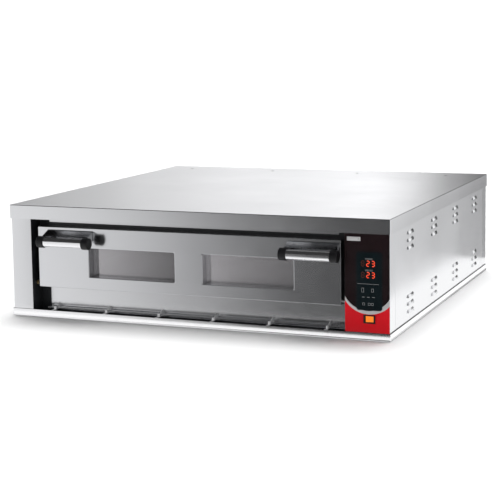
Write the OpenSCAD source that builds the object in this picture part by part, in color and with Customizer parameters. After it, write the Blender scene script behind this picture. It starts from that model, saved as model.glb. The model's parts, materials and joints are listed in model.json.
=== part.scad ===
/* [Cabinet] */
// Width over the cover and the base tray
body_w = 1360; // [1120:1:1640]
// Depth over the cover and the base tray
body_d = 1360; // [1120:1:1640]
// Height from the base to the top of the cover
body_h = 386; // [320:1:470]
// Thickness of the cabinet sheet
sheet_t = 1.5; // [1.2:0.1:2]
// Height of the cover's downturned lip
lip_h = 48; // [36:1:58]
// Height of the base tray's rim
rim_h = 24; // [18:1:26]
// How far the panels sit inside the cover and the tray
inset = 4; // [3:0.5:6]
// Width of the left front post
post_w = 80; // [66:1:96]
// Width of the electrical bay and its control panel
bay_w = 150; // [130:1:180]
// Depth of the folded returns at the four corners
return_d = 62; // [40:1:90]
// Gap between two panels at a seam
seam = 1; // [0.5:0.1:2]

/* [Side louvres] */
// Louvres in a row along the depth
louvre_cols = 4; // [2:1:5]
// Length of one louvre
louvre_len = 62; // [40:1:80]
// Height of one louvre
louvre_h = 12; // [10:1:14]
// How far a louvre stands out of the panel, at most the inset
louvre_rise = 4; // [3:0.5:4]
// Vertical pitch of the louvres in a group
louvre_pitch = 25; // [20:1:30]
// Drop of the upper group below the top of the cabinet
louvre_drop = 65; // [60:1:75]
// Height of the lower group's lowest louvre
louvre_low = 50; // [40:1:60]

/* [Door niche and baking chamber] */
// Depth of the niche that the door closes into
niche_d = 66; // [64:1:80]
// Width of the dark frame strip beside the chamber mouth
jamb_w = 38; // [34:1:50]
// Height of the baking deck's top face
deck_z = 128; // [120:1:140]
// Thickness of a deck stone
stone_t = 17; // [12:1:25]
// Joint left between two deck stones
stone_gap = 1; // [0.5:0.1:3]
// Height of the bearers under the stones
bearer_h = 28; // [24:1:34]
// Drop from the top of the cabinet to the top of the mouth
mouth_drop = 108; // [102:1:112]
// Height of the heater space above the mouth
heater_space = 22; // [18:1:26]
// Thickness of the chamber's own sheet
chamber_t = 2; // [1.5:0.1:3]
// Space behind the chamber for insulation and wiring
back_space = 239; // [200:1:260]
// Thickness of the insulation behind the chamber
back_pack = 100; // [60:1:110]
// Diameter of a tubular heater
heater_d = 8; // [6.5:0.5:10]
// Heaters above the deck, and as many below it
heater_count = 5; // [3:1:6]
// Distance between the two legs of one heater
heater_span = 60; // [50:1:80]

/* [Door] */
// Gap between the door and the sides of its niche
door_gap = 18; // [14:1:24]
// Height of the door's lower edge
door_z = 102; // [98:1:112]
// Drop from the top of the cabinet to the door's upper edge
door_drop = 75; // [70:1:90]
// Depth of the door's face behind the front
door_set = 20; // [16:1:22]
// Thickness of the door without its seal
door_t = 42; // [38:1:43]
// Height of the hinge axis above the door's lower edge
hinge_up = 11; // [8:1:14]
// Diameter of a hinge pin
pin_d = 10; // [8:1:12]
// Running clearance of a pin in its bush, on the radius
pin_fit = 0.05; // [0.02:0.01:0.1]
// Width of one window
window_w = 320; // [240:1:360]
// Gap between the two windows
window_gap = 100; // [60:1:140]
// Height of the door below the windows
window_low = 41; // [34:1:50]
// Height of the door above the windows
window_high = 68; // [60:1:76]
// How far windows and handles sit to the right of the middle
door_shift = 18; // [0:1:20]
// Thickness of a window's glass
glass_t = 4; // [3:0.5:5]

/* [Handles] */
// Length of a handle between the outer faces of its caps
handle_len = 196; // [160:1:200]
// Distance between the middles of the two handles
handle_gap = 876; // [700:1:880]
// Diameter of the gripping bar
bar_d = 34; // [28:1:36]
// Diameter of the end caps
cap_d = 40; // [38:1:44]
// Length of an end cap
cap_len = 26; // [22:1:32]
// How far an end cap stands out beyond its hood
cap_out = 13; // [8:1:16]
// Distance of the bar's middle from the door's face
bar_reach = 48; // [44:1:56]
// Drop from the door's upper edge to the bar's middle
bar_drop = 45; // [42:1:52]
// Thickness of the hood's sheet
hood_t = 2; // [1.5:0.1:3]

/* [Control panel] */
// Thickness of the printed fascias
fascia_t = 1.2; // [0.8:0.1:1.4]
// Width of the display glass
display_w = 84; // [70:1:90]
// Height of the display glass's lower edge
display_z = 96; // [94:1:104]
// Drop from the top of the cabinet to the display glass
display_drop = 105; // [100:1:115]
// Width of the switch flange
switch_w = 38; // [36:1:42]
// Height of the switch flange
switch_h = 27; // [26:1:30]
// Height of the switch's middle
switch_z = 68; // [64:1:70]
// Angle that the switch tips to each side
rocker_tilt = 8; // [6:1:8]

/* [Hidden] */
$fn = 48;
eps = 1;
left = -body_w / 2;
right = body_w / 2;
front = -body_d / 2;
back = body_d / 2;
skin_left = left + inset;
skin_right = right - inset;
skin_front = front + inset;
skin_back = back - inset;
roof_under = body_h - sheet_t;
lip_z = body_h - lip_h;
open_left = left + post_w;
open_right = right - bay_w;
niche_y = front + niche_d;
mouth_left = open_left + jamb_w;
mouth_right = open_right - jamb_w;
mouth_low = deck_z - 2;
mouth_top = body_h - mouth_drop;
chamber_front = niche_y + sheet_t;
chamber_back = back - back_space;
chamber_low = deck_z - stone_t - bearer_h;
chamber_top = mouth_top + heater_space;
pack_left = skin_left + 2 * sheet_t + seam;
pack_back = chamber_back + chamber_t + back_pack;
flange_w = 12;

// Heaters
heater_pitch = (chamber_back - chamber_front) / heater_count;
lower_heater_z = chamber_low + bearer_h / 2;
upper_heater_z = chamber_top - 10;
heater_left = mouth_left + 40;
heater_right = open_right + sheet_t + 20;
heater_fit = 0.5;
heater_y = [for (i = [0:heater_count - 1]) chamber_front + (i + 0.5) * heater_pitch];
leg_y = [for (y = heater_y, s = [-1, 1]) y + s * heater_span / 2];

// Lamp and probes in the chamber's right wall
lamp_y = chamber_front + 0.5 * heater_pitch + heater_span;
lamp_z = (deck_z + mouth_top) / 2;
lamp_r = 28;
lamp_wall = 1.5;
probe_r = 3;
probe_len = 60;
probe_y = heater_y[1] + heater_span / 2 + 40;
probe_z = [lower_heater_z, mouth_top - 14];

// Door
door_left = open_left + door_gap;
door_right = open_right - door_gap;
door_top = body_h - door_drop;
door_face = front + door_set;
door_back = door_face + door_t;
door_mid = (door_left + door_right) / 2;
hinge_y = (door_face + door_back) / 2;
hinge_z = door_z + hinge_up;
fitting_mid = door_mid + door_shift;
window_x = [fitting_mid - window_gap / 2 - window_w, fitting_mid + window_gap / 2];
window_z = door_z + window_low;
window_top = door_top - window_high;
glass_lap = 10;
glass_y = door_back - sheet_t - glass_t;
seal_w = 8;
seal_t = niche_y - door_back - 0.3;
bush_r = pin_d / 2 + 3;
bush_in = 12;
bush_out = 4;
pin_in_door = 22;

// Handles
bar_y = door_face - bar_reach;
bar_z = door_top - bar_drop;
cap_r = cap_d / 2;
hood_top = door_top - 8;
hood_fit = 0.6;
hood_wrap = 65;
hood_lip_y = bar_y + (cap_r + hood_fit) * cos(hood_wrap);
hood_lip_z = bar_z + (cap_r + hood_fit) * sin(hood_wrap);
hood_len = handle_len - 2 * cap_out;
hood_flange = 30;
left_handle_x = fitting_mid - handle_gap / 2;
right_handle_x = fitting_mid + handle_gap / 2;

// Control panel
fascia_front = skin_front - fascia_t;
trim_front = front + 0.8;
panel_left = open_right;
panel_mid = (panel_left + skin_right) / 2;
display_mid = panel_mid + 7;
display_top = body_h - display_drop;
display_r = 8;
smile_upper_r = 84;
smile_lower_r = 94;
smile_upper_low = 94;
smile_lower_low = 83;
smile_upper_x = panel_mid + 1;
smile_lower_x = panel_mid + 5;
module_w = 50;
module_h = 22;
module_z = [display_top - 42, display_top - 78];
badge_w = 44;
badge_h = 13;
rocker_w = 25;
rocker_h = 18.4;
rocker_open_w = 28;
rocker_open_h = 19.4;
rocker_pivot_y = front + 10;
switch_body_w = 32;
switch_body_h = 23.4;
switch_depth = 24;
axle_r = 1.5;
axle_len = 1.2;

// Base sill and its clips
ledge_front = front + 40;
ledge_z = rim_h + 5;
sill_top = door_z - 2;
clip_count = 6;
clip_pitch = (open_right - open_left) / (clip_count - 0.3);
clip_w = 10;
stud_r = 4.5;
stud_h = 9;
gusset_t = 2;
gusset_h = 12;

// Cover screws and the rail under them
screw_count = 4;
screw_pitch = (body_w - 262) / (screw_count - 1);
screw_first = left + 119;
screw_y = back - 98;
screw_head_r = 6;
screw_shank_r = 2.5;
rail_d = 30;
rail_t = 3;

// Cable gland
gland_x = (open_right + skin_right) / 2;
gland_z = 70;
gland_r = 12;
gland_bore = 7;
gland_flange = 18;
gland_len = 30;
gland_nut = 7;

// Bay floor plate with the power switching gear
plate_left = open_right + 32;
plate_right = skin_right - 18;
plate_front = -150;
plate_back = 330;
plate_z = 9;
plate_t = 2;
plate_foot_r = 5;
contactor_h = 62;
contactor_cap_h = 16;
contactor_pitch = 60;

// A box given by two opposite corners
module slab(low, high) {
  translate(low) cube(high - low);
}

// A flat outline in Y and Z, drawn out along X
module along_x(start, length) {
  translate([start, 0, 0]) rotate([90, 0, 90]) linear_extrude(length) children();
}

// A flat outline in X and Z, drawn out along Y
module along_y(start, length) {
  translate([0, start + length, 0]) rotate([90, 0, 0]) linear_extrude(length) children();
}

// A round bar along X
module rod_x(start, end, y, z, r) {
  translate([start, y, z]) rotate([0, 90, 0]) cylinder(h = end - start, r = r);
}

// A rectangle with round corners
module round_rect(low, high, r) {
  for (x = [low.x + r, high.x - r], y = [low.y + r, high.y - r]) translate([x, y]) circle(r);
  translate([low.x + r, low.y]) square([high.x - low.x - 2 * r, high.y - low.y]);
  translate([low.x, low.y + r]) square([high.x - low.x, high.y - low.y - 2 * r]);
}

module base_tray() {
  color("silver") difference() {
    slab([left, front, 0], [right, back, rim_h]);
    slab([left + sheet_t, front + sheet_t, sheet_t], [right - sheet_t, back - sheet_t, rim_h + eps]);
  }
}

module top_cover() {
  color("lightgray") difference() {
    slab([left, front, lip_z], [right, back, body_h]);
    slab([left + sheet_t, front + sheet_t, lip_z - eps], [right - sheet_t, back - sheet_t, roof_under]);
    at_screws() translate([0, 0, roof_under - eps]) cylinder(h = sheet_t + 2 * eps, r = screw_head_r);
  }
}

// Places its children once for every cover screw
module at_screws() {
  for (i = [0:screw_count - 1]) translate([screw_first + i * screw_pitch, screw_y, 0]) children();
}

module rear_cross_rail() {
  color("gray") difference() {
    slab([skin_left + 2 * sheet_t, screw_y - rail_d / 2, roof_under - rail_t],
      [skin_right - 2 * sheet_t, screw_y + rail_d / 2, roof_under]);
    at_screws() translate([0, 0, roof_under - rail_t - eps])
      cylinder(h = rail_t + 2 * eps, r = screw_shank_r);
  }
}

module casing_screws() {
  color("dimgray") at_screws() {
    translate([0, 0, roof_under]) cylinder(h = sheet_t, r = screw_head_r);
    translate([0, 0, roof_under - 12]) cylinder(h = 12, r = screw_shank_r);
  }
}

module left_post() {
  color("silver") union() {
    slab([skin_left, skin_front, sheet_t], [open_left, skin_front + sheet_t, roof_under]);
    slab([skin_left, skin_front, sheet_t], [skin_left + sheet_t, skin_front + return_d, roof_under]);
  }
}

module control_housing() {
  color("silver") difference() {
    union() {
      slab([open_right, skin_front, sheet_t], [skin_right, skin_front + sheet_t, roof_under]);
      slab([skin_right - sheet_t, skin_front, sheet_t], [skin_right, skin_front + return_d, roof_under]);
    }
    switch_cut();
    module_cuts();
  }
}

module switch_cut() {
  slab([display_mid - switch_body_w / 2, front, switch_z - switch_body_h / 2],
    [display_mid + switch_body_w / 2, skin_front + sheet_t + eps, switch_z + switch_body_h / 2]);
}

module module_cuts() {
  for (z = module_z) slab([display_mid - module_w / 2 - 1, front, z - module_h / 2 - 1],
    [display_mid + module_w / 2 + 1, skin_front + sheet_t + eps, z + module_h / 2 + 1]);
}

// One louvre: a curved hood, open below, over a slot in the panel
function louvre_r() = (louvre_h * louvre_h + louvre_rise * louvre_rise) / (2 * louvre_rise);

module louvre_outline(r) {
  intersection() {
    translate([louvre_rise - louvre_r(), 0]) circle(r, $fn = 96);
    square([louvre_rise + eps, louvre_h]);
  }
}

module louvre_hood() {
  difference() {
    translate([0, louvre_len / 2, 0]) rotate([90, 0, 0]) linear_extrude(louvre_len)
      louvre_outline(louvre_r());
    translate([0, louvre_len / 2 - 1, 0]) rotate([90, 0, 0]) linear_extrude(louvre_len - 2)
      louvre_outline(louvre_r() - 1);
  }
}

// Places its children once for every louvre of a side panel
module at_louvres() {
  span = skin_back - skin_front;
  for (c = [0:louvre_cols - 1], r = [0:2]) {
    y = skin_front + span * (0.175 + c * 0.675 / (louvre_cols - 1));
    translate([0, y, louvre_low + r * louvre_pitch]) children();
    translate([0, y, body_h - louvre_drop - louvre_h - r * louvre_pitch]) children();
  }
}

// The right side panel, its outer face at x = 0; the left one is its mirror image
module side_panel() {
  y0 = skin_front + return_d + seam;
  y1 = skin_back - return_d - seam;
  difference() {
    slab([-sheet_t, y0, sheet_t], [0, y1, roof_under]);
    at_louvres() slab([-sheet_t - eps, 2 - louvre_len / 2, 0], [eps, louvre_len / 2 - 2, louvre_h - 4]);
  }
  at_louvres() louvre_hood();
  for (y = [y0, y1]) slab([-2 * sheet_t, y - flange_w, sheet_t],
    [-sheet_t, y + flange_w, roof_under - rail_t]);
}

module left_side_panel() {
  color("lightgray") translate([skin_left, 0, 0]) mirror([1, 0, 0]) side_panel();
}

module right_side_panel() {
  color("lightgray") translate([skin_right, 0, 0]) side_panel();
}

module rear_cover() {
  vent_left = open_right + 20;
  vent_right = skin_right - 20;
  color("silver") difference() {
    union() {
      slab([skin_left, skin_back - sheet_t, sheet_t], [skin_right, skin_back, roof_under]);
      slab([skin_left, skin_back - return_d, sheet_t], [skin_left + sheet_t, skin_back, roof_under]);
      slab([skin_right - sheet_t, skin_back - return_d, sheet_t], [skin_right, skin_back, roof_under]);
    }
    for (i = [0:7]) slab([vent_left, skin_back - sheet_t - eps, 150 + i * 14],
      [vent_right, skin_back + eps, 155 + i * 14]);
    gland_hole();
  }
}

// Hole for the cable gland through the rear cover
module gland_hole() {
  translate([gland_x, skin_back + eps, gland_z]) rotate([90, 0, 0])
    cylinder(h = sheet_t + 2 * eps, r = gland_r);
}

module cable_gland() {
  color("black") translate([gland_x, back - 0.5, gland_z]) rotate([90, 0, 0]) difference() {
    union() {
      cylinder(h = inset - 0.5, r = gland_flange);
      cylinder(h = gland_len, r = gland_r);
      translate([0, 0, inset - 0.5 + sheet_t]) cylinder(h = gland_nut, r = gland_flange);
    }
    translate([0, 0, -eps]) cylinder(h = gland_len + 2 * eps, r = gland_bore);
  }
}

// Hole for a hinge bush through a niche wall
module bush_hole(x) {
  rod_x(x - 3, x + 3, hinge_y, hinge_z, bush_r);
}

module left_niche_wall() {
  color("black") difference() {
    slab([open_left - sheet_t, skin_front + sheet_t, sheet_t],
      [open_left, niche_y + sheet_t, roof_under]);
    bush_hole(open_left - sheet_t / 2);
  }
}

module right_niche_wall() {
  color("black") difference() {
    slab([open_right, skin_front + sheet_t, sheet_t],
      [open_right + sheet_t, niche_y + sheet_t, roof_under]);
    bush_hole(open_right + sheet_t / 2);
  }
}

module mouth_frame() {
  color("black") difference() {
    slab([open_left, niche_y, sheet_t], [open_right, chamber_front, roof_under]);
    slab([mouth_left, niche_y - eps, mouth_low], [mouth_right, chamber_front + eps, mouth_top]);
  }
}

module upper_recess_panel() {
  color("lightgray") slab([mouth_left, niche_y - sheet_t, door_top + 10],
    [mouth_right, niche_y, roof_under]);
}

module sill_panel() {
  color("lightgray") union() {
    slab([mouth_left, niche_y - sheet_t, ledge_z - sheet_t], [open_right, niche_y, sill_top]);
    slab([mouth_left, ledge_front, ledge_z - sheet_t], [open_right, niche_y, ledge_z]);
    slab([mouth_left, ledge_front, ledge_z - 7], [open_right, ledge_front + sheet_t, ledge_z]);
  }
}

// Small brackets that tie the ledge to the tray's rim, each with a stud and a gusset on the ledge
module sill_clips() {
  clip_top = rim_h - sheet_t;
  stud_y = ledge_front - stud_r - 2.5;
  first = (open_left + open_right - (clip_count - 1) * clip_pitch) / 2;
  color("gainsboro") for (i = [0:clip_count - 1]) translate([first + i * clip_pitch, 0, 0]) {
    slab([-clip_w / 2, front + sheet_t, clip_top - sheet_t], [clip_w / 2, ledge_front, clip_top]);
    slab([-clip_w / 2, front + sheet_t, rim_h - 10], [clip_w / 2, front + 2 * sheet_t, clip_top]);
    translate([0, stud_y, clip_top]) cylinder(h = stud_h, r = stud_r);
    along_x(-gusset_t / 2, gusset_t) polygon([[ledge_front, ledge_z], [niche_y - sheet_t, ledge_z],
      [niche_y - sheet_t, ledge_z + gusset_h]]);
  }
}

module bay_wall() {
  color("gray") difference() {
    slab([open_right, chamber_front, sheet_t],
      [open_right + sheet_t, skin_back - sheet_t, roof_under - rail_t]);
    wall_holes();
  }
}

// Everything that passes from the bay into the chamber
module wall_holes() {
  for (y = leg_y, z = [lower_heater_z, upper_heater_z])
    rod_x(mouth_right - eps, open_right + sheet_t + eps, y, z, heater_d / 2 + heater_fit);
  for (z = probe_z) rod_x(mouth_right - eps, open_right + sheet_t + eps, probe_y, z, probe_r + 0.2);
  rod_x(mouth_right - eps, open_right + sheet_t + eps, lamp_y, lamp_z, lamp_r);
}

module chamber_roof() {
  color("gray") slab([mouth_left - chamber_t, chamber_front, chamber_top],
    [mouth_right + chamber_t, chamber_back + chamber_t, chamber_top + chamber_t]);
}

module chamber_floor() {
  color("gray") slab([mouth_left - chamber_t, chamber_front, chamber_low - chamber_t],
    [mouth_right + chamber_t, chamber_back + chamber_t, chamber_low]);
}

module chamber_left_wall() {
  color("gray") slab([mouth_left - chamber_t, chamber_front, chamber_low],
    [mouth_left, chamber_back, chamber_top]);
}

module chamber_right_wall() {
  color("gray") difference() {
    slab([mouth_right, chamber_front, chamber_low], [mouth_right + chamber_t, chamber_back, chamber_top]);
    wall_holes();
  }
}

module chamber_back_wall() {
  color("gray") slab([mouth_left - chamber_t, chamber_back, chamber_low],
    [mouth_right + chamber_t, chamber_back + chamber_t, chamber_top]);
}

module roof_insulation() {
  color("khaki") slab([pack_left, chamber_front, chamber_top + chamber_t],
    [open_right, pack_back, roof_under]);
}

module floor_insulation() {
  color("khaki") slab([pack_left, chamber_front, sheet_t],
    [open_right, pack_back, chamber_low - chamber_t]);
}

module left_insulation() {
  color("khaki") slab([pack_left, chamber_front, chamber_low - chamber_t],
    [mouth_left - chamber_t, pack_back, chamber_top + chamber_t]);
}

module right_insulation() {
  color("khaki") difference() {
    slab([mouth_right + chamber_t, chamber_front, chamber_low - chamber_t],
      [open_right, pack_back, chamber_top + chamber_t]);
    wall_holes();
  }
}

module back_insulation() {
  color("khaki") slab([mouth_left - chamber_t, chamber_back + chamber_t, chamber_low - chamber_t],
    [mouth_right + chamber_t, pack_back, chamber_top + chamber_t]);
}

module deck_stones() {
  cols = 3;
  rows = 2;
  stone_w = (mouth_right - mouth_left - (cols + 1) * stone_gap) / cols;
  stone_d = (chamber_back - chamber_front - (rows + 1) * stone_gap) / rows;
  color("tan") for (c = [0:cols - 1], r = [0:rows - 1])
    translate([mouth_left + stone_gap + c * (stone_w + stone_gap),
      chamber_front + stone_gap + r * (stone_d + stone_gap), deck_z - stone_t])
      cube([stone_w, stone_d, stone_t]);
}

module deck_bearers() {
  bearer_w = 20;
  wall = 2;
  color("gray") for (i = [0:heater_count]) {
    y = min(max(chamber_front + i * heater_pitch - bearer_w / 2, chamber_front), chamber_back - bearer_w);
    difference() {
      slab([mouth_left + 1, y, chamber_low], [mouth_right - 1, y + bearer_w, chamber_low + bearer_h]);
      slab([mouth_left, y + wall, chamber_low - eps],
        [mouth_right, y + bearer_w - wall, chamber_low + bearer_h - wall]);
    }
  }
}

// A row of hairpin heaters at one height
module heater_row(z) {
  for (y = heater_y) {
    for (s = [-1, 1]) rod_x(heater_left, heater_right, y + s * heater_span / 2, z, heater_d / 2);
    translate([heater_left, y, z]) rotate([0, 0, 90]) rotate_extrude(angle = 180)
      translate([heater_span / 2, 0]) circle(heater_d / 2);
  }
}

module upper_heaters() {
  color("dimgray") heater_row(upper_heater_z);
}

module lower_heaters() {
  color("dimgray") heater_row(lower_heater_z);
}

// Strips under the chamber roof that carry the upper heaters
module heater_hangers() {
  hanger_t = 3;
  hanger_h = 18;
  width = mouth_right - mouth_left;
  color("gray") for (share = [0.15, 0.5, 0.85]) {
    x = mouth_left + share * width;
    difference() {
      slab([x, chamber_front + 2, chamber_top - hanger_h], [x + hanger_t, chamber_back - 2, chamber_top]);
      for (y = leg_y) rod_x(x - eps, x + hanger_t + eps, y, upper_heater_z, heater_d / 2 + heater_fit);
    }
  }
}

module temperature_probes() {
  color("silver") for (z = probe_z) {
    rod_x(mouth_right - probe_len, open_right + sheet_t + 18, probe_y, z, probe_r);
    rod_x(open_right + sheet_t, open_right + sheet_t + 6, probe_y, z, probe_r + 4);
  }
}

module lamp_housing() {
  color("gray") difference() {
    rod_x(mouth_right + 4, open_right + sheet_t + 14, lamp_y, lamp_z, lamp_r);
    rod_x(mouth_right, open_right + sheet_t + 12, lamp_y, lamp_z, lamp_r - lamp_wall);
  }
}

module lamp_glass() {
  color("white") rod_x(mouth_right, mouth_right + 4, lamp_y, lamp_z, lamp_r);
}

module lamp_bulb() {
  base_x = open_right + sheet_t + 12;
  color("ivory") union() {
    rod_x(base_x - 14, base_x, lamp_y, lamp_z, 8);
    rod_x(base_x - 32, base_x - 14, lamp_y, lamp_z, 5);
  }
}

module mounting_plate() {
  color("gray") union() {
    slab([plate_left, plate_front, plate_z], [plate_right, plate_back, plate_z + plate_t]);
    for (x = [plate_left + 10, plate_right - 10], y = [plate_front + 10, plate_back - 10])
      translate([x, y, sheet_t]) cylinder(h = plate_z - sheet_t, r = plate_foot_r);
  }
}

module contactors() {
  z = plate_z + plate_t;
  color("dimgray") for (i = [0:2]) {
    y = plate_front + 30 + i * contactor_pitch;
    slab([plate_left + 5, y, z], [plate_right - 5, y + contactor_pitch - 15, z + contactor_h]);
    slab([plate_left + 20, y + 8, z + contactor_h],
      [plate_right - 20, y + contactor_pitch - 23, z + contactor_h + contactor_cap_h]);
  }
}

module terminal_block() {
  z = plate_z + plate_t;
  color("ivory") union() {
    slab([plate_left + 20, plate_back - 120, z], [plate_right - 20, plate_back - 30, z + 20]);
    for (i = [0:4]) slab([plate_left + 30, plate_back - 116 + i * 18, z + 20],
      [plate_right - 30, plate_back - 106 + i * 18, z + 34]);
  }
}

// Region of the panel above a curve that sags like a smile
module above_smile(x, low, r) {
  translate([x, low + r]) circle(r, $fn = 180);
  translate([panel_left - eps, low + r - 30]) square([skin_right - panel_left + 2 * eps, body_h]);
}

module panel_outline() {
  translate([panel_left, rim_h + 1]) square([skin_right - panel_left, lip_z - 1 - rim_h - 1]);
}

module upper_fascia() {
  color("black") difference() {
    along_y(fascia_front, fascia_t) intersection() {
      panel_outline();
      above_smile(smile_upper_x, smile_upper_low, smile_upper_r);
    }
    module_cuts();
  }
}

module trim_band() {
  color("silver") along_y(fascia_front, fascia_t) difference() {
    intersection() {
      panel_outline();
      above_smile(smile_lower_x, smile_lower_low, smile_lower_r);
    }
    above_smile(smile_upper_x, smile_upper_low, smile_upper_r);
  }
}

module lower_fascia() {
  color("crimson") difference() {
    along_y(fascia_front, fascia_t) difference() {
      panel_outline();
      above_smile(smile_lower_x, smile_lower_low, smile_lower_r);
    }
    switch_cut();
  }
}

module display_lens() {
  color("darkslategray") along_y(trim_front, fascia_front - trim_front)
    round_rect([display_mid - display_w / 2, display_z],
      [display_mid + display_w / 2, display_top], display_r);
}

module display_board() {
  board_y = skin_front + 14;
  color("darkgreen") union() {
    slab([display_mid - 46, board_y, display_z + 6], [display_mid + 46, board_y + 1.6, display_top - 6]);
    for (z = module_z) slab([display_mid - module_w / 2, fascia_front + 0.5, z - module_h / 2],
      [display_mid + module_w / 2, board_y, z + module_h / 2]);
    for (x = [display_mid - 40, display_mid + 40], z = [display_z + 12, display_top - 12])
      translate([x, board_y, z]) rotate([90, 0, 0]) cylinder(h = board_y - skin_front - sheet_t, r = 3);
  }
}

module blank_badge() {
  badge_left = panel_left + 8;
  badge_top = lip_z - 11;
  color("silver") slab([badge_left, fascia_front - 1, badge_top - badge_h],
    [badge_left + badge_w, fascia_front, badge_top]);
}

module switch_bezel() {
  y1 = front + switch_depth;
  color("black") difference() {
    union() {
      slab([display_mid - switch_w / 2, trim_front, switch_z - switch_h / 2],
        [display_mid + switch_w / 2, fascia_front, switch_z + switch_h / 2]);
      slab([display_mid - switch_body_w / 2, trim_front, switch_z - switch_body_h / 2],
        [display_mid + switch_body_w / 2, y1, switch_z + switch_body_h / 2]);
    }
    slab([display_mid - rocker_open_w / 2, front, switch_z - rocker_open_h / 2],
      [display_mid + rocker_open_w / 2, y1 - 2, switch_z + rocker_open_h / 2]);
    translate([display_mid, rocker_pivot_y, switch_z - rocker_h / 2 - axle_len - 0.2])
      cylinder(h = rocker_h + 2 * axle_len + 0.4, r = axle_r + pin_fit);
  }
}

// The rocker rests tipped to its right, switched on
module power_rocker() {
  half = rocker_w / 2;
  crown = 6;
  wing = crown + half * tan(rocker_tilt);
  pivot = [display_mid, rocker_pivot_y, switch_z];
  color("darkorange") translate(pivot) rotate([0, 0, rocker_tilt]) union() {
    translate([0, 0, -rocker_h / 2]) linear_extrude(rocker_h)
      polygon([[-half, -wing], [0, -crown], [half, -wing], [half, -2], [8, 4], [-8, 4], [-half, -2]]);
    translate([0, 0, -rocker_h / 2 - axle_len]) cylinder(h = rocker_h + 2 * axle_len, r = axle_r);
  }
}

// Openings of both windows, made larger by grow on every side
module window_cuts(y0, y1, grow) {
  for (x = window_x) slab([x - grow, y0, window_z - grow], [x + window_w + grow, y1, window_top + grow]);
}

module pin_cuts(r) {
  rod_x(door_left - eps, door_left + pin_in_door, hinge_y, hinge_z, r);
  rod_x(door_right - pin_in_door, door_right + eps, hinge_y, hinge_z, r);
}

module door_outer() {
  color("silver") difference() {
    slab([door_left, door_face, door_z], [door_right, door_back - sheet_t, door_top]);
    slab([door_left + sheet_t, door_face + sheet_t, door_z + sheet_t],
      [door_right - sheet_t, door_back, door_top - sheet_t]);
    window_cuts(door_face - eps, door_back, sheet_t);
    pin_cuts(pin_d / 2);
  }
}

module door_inner() {
  color("gray") difference() {
    slab([door_left, door_back - sheet_t, door_z], [door_right, door_back, door_top]);
    window_cuts(door_face, door_back + eps, 0);
  }
}

module door_insulation() {
  color("khaki") difference() {
    slab([door_left + sheet_t, door_face + sheet_t, door_z + sheet_t],
      [door_right - sheet_t, door_back - sheet_t, door_top - sheet_t]);
    window_cuts(door_face, door_back, glass_lap + 1);
    pin_cuts(pin_d / 2 + 0.2);
  }
}

module window_liners() {
  color("silver") difference() {
    window_cuts(door_face, glass_y, sheet_t);
    window_cuts(door_face - eps, glass_y + eps, 0);
  }
}

module window_glasses() {
  color("lightblue") window_cuts(glass_y, door_back - sheet_t, glass_lap);
}

module door_seal() {
  seal_out = 10;
  color("dimgray") difference() {
    slab([mouth_left - seal_out, door_back, mouth_low - seal_out],
      [mouth_right + seal_out, door_back + seal_t, mouth_top + seal_out]);
    slab([mouth_left - seal_out + seal_w, door_back - eps, mouth_low - seal_out + seal_w],
      [mouth_right + seal_out - seal_w, niche_y, mouth_top + seal_out - seal_w]);
  }
}

module hinge_pins() {
  color("gainsboro") {
    rod_x(open_left - bush_in, door_left + pin_in_door, hinge_y, hinge_z, pin_d / 2);
    rod_x(door_right - pin_in_door, open_right + bush_in, hinge_y, hinge_z, pin_d / 2);
  }
}

module hinge_bush(start, end) {
  difference() {
    rod_x(start, end, hinge_y, hinge_z, bush_r);
    rod_x(start - eps, end + eps, hinge_y, hinge_z, pin_d / 2 + pin_fit);
  }
}

module hinge_bushes() {
  color("gold") {
    hinge_bush(open_left - bush_in, open_left + bush_out);
    hinge_bush(open_right - bush_out, open_right + bush_in);
  }
}

// Outline of the folded top of a handle, from the door's face down to the caps
module hood_outline() {
  polygon([[door_face, hood_top], [hood_lip_y, hood_lip_z + hood_t], [hood_lip_y, hood_lip_z],
    [door_face, hood_top - hood_t]]);
}

// Outline of a cheek at one end of the hood, cut out round the cap that it carries
module cheek_outline() {
  difference() {
    polygon([[door_face, hood_top], [hood_lip_y, hood_lip_z + hood_t], [bar_y, bar_z],
      [door_face, hood_top - hood_flange - hood_t]]);
    translate([bar_y, bar_z]) circle(cap_r);
  }
}

module handle_hood(mid) {
  start = mid - hood_len / 2;
  color("silver") union() {
    along_x(start, hood_len) hood_outline();
    slab([start, door_face - hood_t, hood_top - hood_t - hood_flange],
      [start + hood_len, door_face, hood_top - hood_t]);
    for (x = [start, start + hood_len - hood_t]) along_x(x, hood_t) cheek_outline();
  }
}

module handle_bar(mid) {
  half = handle_len / 2 - cap_len;
  color("gainsboro") difference() {
    rod_x(mid - half, mid + half, bar_y, bar_z, bar_d / 2);
    rod_x(mid - half - eps, mid + half + eps, bar_y, bar_z, bar_d / 2 - 2);
  }
}

module left_handle_hood() {
  handle_hood(left_handle_x);
}

module right_handle_hood() {
  handle_hood(right_handle_x);
}

module left_handle_bar() {
  handle_bar(left_handle_x);
}

module right_handle_bar() {
  handle_bar(right_handle_x);
}

module handle_caps() {
  reach = handle_len / 2;
  color("black") for (mid = [left_handle_x, right_handle_x]) {
    rod_x(mid - reach, mid - reach + cap_len, bar_y, bar_z, cap_r);
    rod_x(mid + reach - cap_len, mid + reach, bar_y, bar_z, cap_r);
  }
}

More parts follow.
